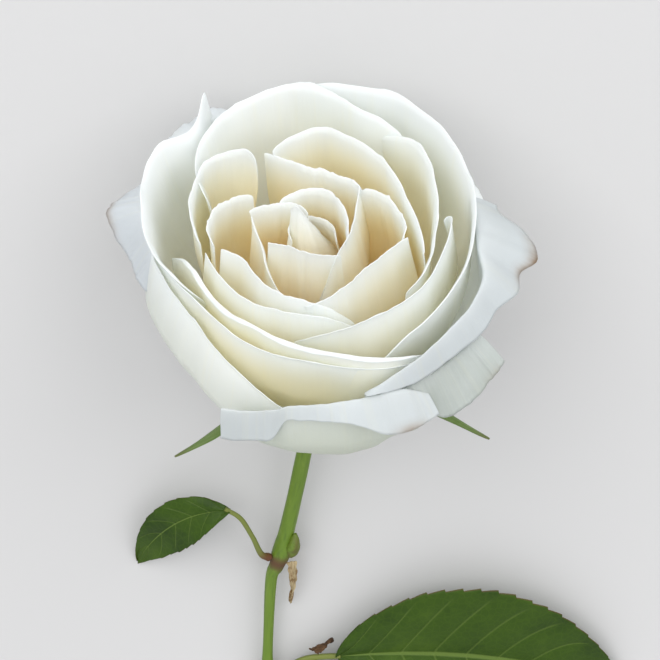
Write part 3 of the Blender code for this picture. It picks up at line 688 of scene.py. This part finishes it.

    # The cream and the peach are partly the petals' own warm heart and partly painted warm shade deep in the
    # gaps.
    depth = PETAL_LENGTH * np.clip(1 - reach / top, 0, 1)
    below = 1 - np.exp(-(depth / CREAM_DEPTH) ** 1.7)
    warm = 0.92 * p["cream"] * below * np.exp(-(rho / CREAM_RADIUS) ** 2)
    peach = 1 - np.exp(-(depth / PEACH_DEPTH) ** 2)
    peach = min(p["cream"], 1.0) * peach * np.exp(-(rho / PEACH_RADIUS) ** 2)
    rim = np.clip((reach / top - 0.93) / 0.07, 0, 1) ** 2 + np.clip((np.abs(u) - 0.93) / 0.07, 0, 1) ** 2
    edge = np.clip((reach / top - 0.978) / 0.022, 0, 1)
    dry = p["brown"][0] * np.exp(-((u - p["brown"][1]) / p["brown"][2]) ** 2)
    thickness = PETAL_THICKNESS + 0.30 * (1 - s) - 0.10 * np.clip(rim, 0, 1)
    # The cool and grey marks near the edge are painted shade.
    return thin_shell(points, thickness, u, v, seed=float(seed), warm=warm, peach=peach, below=below,
                      green=p["green"], cool=p["cool"] * (1 - below), grey=p["grey"] * (1 - below),
                      brown=dry * edge)


def petal_velvet():
    """Petal tissue: white at the rims, cream further down and peach at the heart, partly their own colour and
    partly painted warm shade deep in the gaps, faintly green on the outer backs, painted cool and grey shade on
    the outer margins, with fanning veins, a fine velvet grain and a few dry brown edges."""
    velvet = Finish("petal velvet", specular_ior_level=0.22, sheen_weight=0.15, sheen_roughness=0.45)
    fan = velvet.grain(velvet.sheet_place(26.0, 1.6), 1.0, 4.0, 0.5)
    soft = velvet.grain(velvet.place(), 55.0, 2.0)
    cells = velvet.grain(velvet.place(), 2600.0, 2.0)
    back = velvet.mark("back")
    # Cream and peach: partly the petals' own warm heart, partly painted warm shade deep in the gaps.
    warm = velvet.mark("warm") * (0.8 + soft * 0.4) * (1 - back * 0.35)
    colour = velvet.blend(PETAL_WHITE, PETAL_CREAM, warm)
    colour = velvet.blend(colour, PETAL_PEACH, velvet.mark("peach") * (0.8 + soft * 0.4) * (1 - back * 0.85))
    colour = velvet.blend(colour, PETAL_GREEN, velvet.mark("green") * back * velvet.mark("below") * 0.9)
    # Painted shade: a cool bluish grey on the outer petals' margins, where they turn from the light.
    colour = velvet.blend(colour, PETAL_COOL, velvet.mark("cool") * 0.7)
    # Painted shade: grey near the edges of the outer petals that turn from the light.
    colour = velvet.blend(colour, PETAL_GREY, velvet.mark("grey") * (0.4 + soft * 0.8))
    colour = velvet.blend(colour, PETAL_CREAM, velvet.ease(fan, 0.5, 0.75) * 0.06)
    dry = velvet.mark("brown") * velvet.ease(soft + fan * 0.2, 0.40, 0.62)
    colour = velvet.blend(colour, PETAL_BROWN, dry)
    roughness = 0.52 + cells * 0.16 + soft * 0.06
    relief = fan * 0.9 + cells * 0.10
    return velvet.finished(colour, roughness, relief, distance=0.00026, strength=0.45, glow=0.42)


velvet = petal_velvet()
seed = 0
for name, group in (("petals_heart", HEART_PETALS), ("petals_inner", INNER_PETALS), ("petals_cup", CUP_PETALS),
                    ("petals_outer", OUTER_PETALS)):
    sheets = [petal_sheet(measures, seed + k) for k, measures in enumerate(group)]
    piece(name, sheets, velvet, "bloom")
    seed += len(group)

# The leaves. Tough green leaflets with a saw edge, a pale midrib and side veins, on thin stalks. The small one
# hangs from the upper swelling, and the lower swelling bears a large end leaflet and one side leaflet.

UPPER_STALK = [(-16.3, -88.5, 8.3, 1.4), (-18.6, -85.6, 11.2, 1.0), (-21.3, -77.0, 14.8, 0.8),
               (-24.6, -69.5, 16.8, 0.8), (-29.5, -65.5, 17.3, 0.7)]
LOWER_STALK = [(-14.5, -135.4, 5.4, 1.4), (-11.0, -133.2, 6.2, 1.2), (-7.0, -129.6, 6.8, 1.1),
               (-1.0, -127.6, 7.0, 1.0), (7.0, -127.0, 7.4, 0.9)]
UPPER_BLADE = dict(line=[(-28.0, -66.2, 17.2), (-47.5, -67.5, 14.5), (-59.5, -94.5, 0.5)], half_width=7.6,
                   broad=0.5, tilt=0.35, wave=0.8, teeth=11, veins=6.0, seed=1.0)
END_BLADE = dict(line=[(5.5, -127.0, 7.3), (54.0, -119.5, 10.0), (101.5, -143.0, 0.5)], half_width=28.5,
                 broad=0.45, tilt=0.0, wave=1.2, teeth=20, veins=9.0, seed=2.0)
SIDE_BLADE = dict(line=[(-3.0, -128.5, 6.6), (8.0, -158.0, 9.0), (13.0, -196.0, 0.5)], half_width=15.5,
                  broad=0.44, tilt=0.0, wave=0.8, teeth=16, veins=8.0, seed=3.0)
TOOTH_DEPTH = 0.045
VEIN_SLANT = 0.17
LEAF_REST = 0.25
STALK_SIDES = 20
LEAF_GREEN = (0.034, 0.075, 0.003)
LEAF_DARK = (0.019, 0.047, 0.002)
LEAF_LIGHT = (0.070, 0.130, 0.009)
LEAF_VEIN = (0.125, 0.190, 0.036)
LEAF_UNDER = (0.135, 0.190, 0.085)
STALK_GREEN = (0.180, 0.210, 0.050)
STALK_RED = (0.150, 0.060, 0.030)


def leaf_sheet(blade, columns=41, rows_per_tooth=12):
    """A leaflet: v runs along its midrib, which is an arc, and u across it. The half width is a power of a
    sine of v, with teeth that lean to the tip as a saw wave. The halves rise from the midrib, a slow wave
    bends them, and the skin bulges between side veins that leave the midrib at a slant, as a sine of the vein
    count. What would lie under the table is pressed flat on it."""
    rows = blade["teeth"] * rows_per_tooth + 1
    u, v = np.meshgrid(np.linspace(-1, 1, columns), np.linspace(0, 1, rows), indexing="ij")
    place, direction = arc(blade["line"], v)
    side = unit(np.cross([0.0, 0.0, 1.0], direction))
    upper = unit(np.cross(direction, side))
    power = math.log(0.5) / math.log(blade["broad"])
    half = blade["half_width"] * np.sin(np.pi * v ** power) ** 0.8
    saw = (v * blade["teeth"] + 0.15 * np.sign(u)) % 1.0
    tooth = 1 + (TOOTH_DEPTH * saw - 0.01) * np.abs(u) ** 10 * np.sin(np.pi * v) ** 0.3
    reach = np.maximum(half, 0.35) * u * tooth
    vein = (v - VEIN_SLANT * np.abs(u) ** 1.15) * blade["veins"]
    bulge = np.abs(np.sin(np.pi * vein)) ** 0.6 * np.minimum(np.abs(u) * 6, 1) * (1 - np.abs(u) ** 5)
    lift = 0.25 * np.abs(reach) + blade["tilt"] * reach + 0.020 * blade["half_width"] * bulge
    lift += blade["wave"] * np.sin(5.0 * v + 2.5 * u) * np.abs(u)
    lift += 0.25 * blade["wave"] * np.sin(31 * v + 2 * u) * np.abs(u) ** 4
    points = HIP_FOOT + place + reach[..., None] * side + lift[..., None] * upper
    points[..., 2] = np.maximum(points[..., 2], LEAF_REST)
    thickness = 0.42 - 0.18 * np.abs(u) + 0.55 * np.exp(-(u / 0.035) ** 2) * (1 - v)
    return thin_shell(points, thickness, u, v, seed=blade["seed"], vein=vein, end=0.0, stalk=0.0)


def stalk_ripple(turn, along):
    """A shallow channel along the top, as a bell over the turn from it, and one low wave."""
    return -0.16 * np.exp(-((turn - np.pi / 2) / 0.5) ** 2) + 0.05 * np.sin(17 * along + turn)


def stalk_tube(line, seed):
    """A leaf stalk: a channelled tube whose ends take the skin's colours."""
    rows = smooth_line(line, steps=12)
    body = tube(rows, STALK_SIDES, stalk_ripple, stalk=1.0, vein=0.5, seed=seed, back=0.0)
    body[2]["end"][:] = 0.0
    return body


def leaf_skin():
    """Leaf skin: deep green with a waxy gloss above and pale and dull below, pale veins with darker green
    beside them, uneven patches, and stalks that turn from green to brownish red."""
    skin = Finish("leaf skin", specular_ior_level=0.22)
    patches = skin.grain(skin.place(), 60.0, 3.0)
    fine = skin.grain(skin.place(), 900.0, 3.0)
    under = skin.mark("back")
    u, v = skin.mark("u"), skin.mark("v")
    wide = skin.add("ShaderNodeMath", {"operation": "ABSOLUTE"}, {0: u})
    slant = skin.add("ShaderNodeMath", {"operation": "FRACT"}, {0: skin.mark("vein")})
    gap = skin.add("ShaderNodeMath", {"operation": "ABSOLUTE"}, {0: slant - 0.5})
    side_vein = skin.ease(gap, 0.44, 0.495) * skin.ease(wide, 0.96, 0.70)
    midrib = skin.ease(wide, 0.045, 0.015)
    net = skin.add("ShaderNodeTexVoronoi", {"feature": "DISTANCE_TO_EDGE"},
                   {"Vector": skin.place(), "Scale": 420.0})
    mesh_vein = skin.ease(net, 0.12, 0.02) * 0.16
    colour = skin.blend(LEAF_DARK, LEAF_GREEN, skin.ease(patches, 0.30, 0.55))
    colour = skin.blend(colour, LEAF_LIGHT, skin.ease(patches, 0.55, 0.80) * 0.6)
    colour = skin.blend(colour, LEAF_LIGHT, mesh_vein)
    colour = skin.blend(colour, LEAF_UNDER, under * 0.8)
    colour = skin.blend(colour, LEAF_VEIN, side_vein * 0.40)
    colour = skin.blend(colour, LEAF_VEIN, midrib * 0.85)
    colour = skin.blend(colour, STALK_RED, skin.ease(wide, 0.985, 1.0) * 0.5)
    wood = skin.blend(STALK_RED, STALK_GREEN, skin.ease(v + patches * 0.6, 0.35, 0.75))
    colour = skin.blend(colour, wood, skin.mark("stalk"))
    roughness = 0.40 + under * 0.22 + fine * 0.12
    relief = fine * 0.25 - side_vein * 0.5 - midrib * 0.6 - mesh_vein * 0.6
    return skin.finished(colour, roughness, relief, distance=0.0004, strength=0.6, glow=0.12)


leaf_green = leaf_skin()
upper_leaf = [leaf_sheet(UPPER_BLADE), stalk_tube(UPPER_STALK, seed=4.0)]
lower_leaf = [leaf_sheet(END_BLADE), leaf_sheet(SIDE_BLADE), stalk_tube(LOWER_STALK, seed=5.0)]
piece("leaf_upper", upper_leaf, leaf_green, "leaf_upper")
piece("leaf_lower", lower_leaf, leaf_green, "leaf_lower")

# The dry remains. A beige strip of dead bract that hangs at the upper swelling, and the brown shrivelled stub
# of a leaflet beside the lower stalk. Both are paper-thin dead tissue that dried on the plant and curled.

DRY_STRIP = dict(line=[(-9.0, -90.5, 7.6), (-7.6, -98.0, 6.0), (-9.4, -109.0, 2.6)], half_width=1.5, twist=70.0)
STUB = dict(line=[(-1.8, -124.6, 7.8), (0.6, -121.6, 9.6), (4.4, -119.8, 7.8)], half_width=1.8, twist=60.0)
DRY_THICKNESS = 0.35
STRIP_BEIGE = (0.46, 0.37, 0.22)
STRIP_BROWN = (0.20, 0.12, 0.05)
STUB_BROWN = (0.115, 0.062, 0.030)
STUB_DARK = (0.040, 0.022, 0.012)


def dry_sheet(strip, seed, crinkle, columns=17, rows=61):
    """A dry strip: v runs along its arc and u across it. It narrows as 1 - 0.7 v squared, turns evenly as it
    goes, curls across as the square of u, and two sines crinkle it."""
    u, v = np.meshgrid(np.linspace(-1, 1, columns), np.linspace(0, 1, rows), indexing="ij")
    place, direction = arc(strip["line"], v)
    side = unit(np.cross([0.0, 0.0, 1.0], direction))
    upper = unit(np.cross(direction, side))
    angle = np.radians(strip["twist"]) * v
    reach = strip["half_width"] * (1 - 0.7 * v ** 2) * u * (1 + 0.12 * np.sin(31 * v + seed) * np.abs(u) ** 2)
    curl = 0.35 * strip["half_width"] * u * u + crinkle * np.sin(15 * v + 3 * u) * np.sin(5 * u + 4 * v)
    flat = reach * np.cos(angle) - curl * np.sin(angle)
    steep = reach * np.sin(angle) + curl * np.cos(angle)
    points = HIP_FOOT + place + flat[..., None] * side + steep[..., None] * upper
    return thin_shell(points, DRY_THICKNESS, u, v, seed=seed)


def dead_tissue(name, light, dark):
    """Dead plant tissue: long fibres, darker towards the tip and in blotches, dull."""
    skin = Finish(name, specular_ior_level=0.2)
    fibres = skin.grain(skin.sheet_place(6.0, 2.0), 1.0, 5.0, 0.6)
    blotches = skin.grain(skin.place(), 420.0, 3.0)
    colour = skin.blend(light, dark, skin.ease(fibres, 0.45, 0.70) * 0.7)
    colour = skin.blend(colour, dark, skin.ease(blotches + skin.mark("v") * 0.15, 0.50, 0.72))
    roughness = 0.75 + blotches * 0.15
    relief = fibres * 0.8 + blotches * 0.4
    return skin.finished(colour, roughness, relief, distance=0.0003, strength=0.9)


piece("stipule_dry", [dry_sheet(DRY_STRIP, seed=1.0, crinkle=0.30)],
      dead_tissue("dry strip", STRIP_BEIGE, STRIP_BROWN), "stipule_dry")
piece("leaflet_stub", [dry_sheet(STUB, seed=2.0, crinkle=0.45)],
      dead_tissue("dry stub", STUB_BROWN, STUB_DARK), "leaflet_stub")

# The table and the light. A plain pale sheet under the flower, a white room round it, one broad soft light from
# the upper left, a weaker one from the upper right, and the camera above, looking down at the open bloom.

CAMERA_ELEVATION = 65.0
PICTURE_SIZE = 660.0
PIXELS_PER_MM = 3.64
DISTANCE = 600.0
SENSOR = 36.0
BLOOM_HEIGHT = 57.0
BLOOM_PIXEL = (309.0, 224.0)
TABLE_GREY = (0.565, 0.56, 0.56)
TABLE_DARKER = 0.975
TABLE_HALF = 3
ROOM_WHITE = (0.97, 0.985, 1.0, 1.0)
ROOM_STRENGTH = 0.84
LAMP_SIZE = 3.2
LAMP_AIM = (-0.02, 0.08, 0.04)


def table_paper():
    """Smooth matt paper with hardly any grain."""
    paper = Finish("table paper", specular_ior_level=0.1)
    cloud = paper.grain(paper.place(), 3.0, 2.0)
    fibre = paper.grain(paper.place(), 700.0, 2.0)
    shade = tuple(TABLE_DARKER * part for part in TABLE_GREY)
    colour = paper.blend(shade, TABLE_GREY, cloud)
    return paper.finished(colour, 0.8 + fibre * 0.1, fibre, distance=0.00002, strength=0.3)


def lamp(name, place, watts):
    """A broad square light at a place in metres, turned to the flower."""
    light = bpy.data.lights.new(name, "AREA")
    light.size = LAMP_SIZE
    light.energy = watts
    thing = bpy.data.objects.new(name, light)
    bpy.context.scene.collection.objects.link(thing)
    thing.location = place
    thing.rotation_euler = (Vector(LAMP_AIM) - Vector(place)).to_track_quat("-Z", "Y").to_euler()


table_mesh = bpy.data.meshes.new("table")
corners = [(x * TABLE_HALF, y * TABLE_HALF, 0) for x, y in ((-1, -1), (1, -1), (1, 1), (-1, 1))]
table_mesh.from_pydata(corners, [], [(0, 1, 2, 3)])
table_mesh.materials.append(table_paper())
table = bpy.data.objects.new("table", table_mesh)
bpy.context.scene.collection.objects.link(table)

room = bpy.data.worlds.new("white room")
room.use_nodes = True
room.node_tree.nodes["Background"].inputs["Color"].default_value = ROOM_WHITE
room.node_tree.nodes["Background"].inputs["Strength"].default_value = ROOM_STRENGTH
bpy.context.scene.world = room
lamp("window", (-1.30, 2.20, 3.10), watts=84.0)
lamp("reflector", (2.10, 2.30, 2.40), watts=66.0)

towards_camera = forwards(CAMERA_ELEVATION)
picture_up = np.array([0.0, towards_camera[2], -towards_camera[1]])
picture_right = np.array([1.0, 0.0, 0.0])
offset = [(PICTURE_SIZE / 2 - pixel) / PIXELS_PER_MM for pixel in BLOOM_PIXEL]
bloom_middle = HIP + BLOOM_HEIGHT * AXIS
eye = bloom_middle + offset[0] * picture_right - offset[1] * picture_up + DISTANCE * towards_camera
camera = bpy.data.cameras.new("camera")
camera.sensor_width = SENSOR
camera.lens = SENSOR * DISTANCE / (PICTURE_SIZE / PIXELS_PER_MM)
camera.clip_start = 0.01
viewer = bpy.data.objects.new("camera", camera)
bpy.context.scene.collection.objects.link(viewer)
turn = Matrix(np.column_stack([picture_right, picture_up, towards_camera]).tolist()).to_4x4()
viewer.matrix_world = Matrix.Translation(Vector((eye * MM).tolist())) @ turn
bpy.context.scene.camera = viewer
bpy.context.scene.view_settings.view_transform = "Standard"

# Light gets deep between white petals by many soft bounces, so more of them are followed than usual.
paths = bpy.context.scene.cycles
paths.max_bounces, paths.diffuse_bounces, paths.transmission_bounces = 20, 16, 16
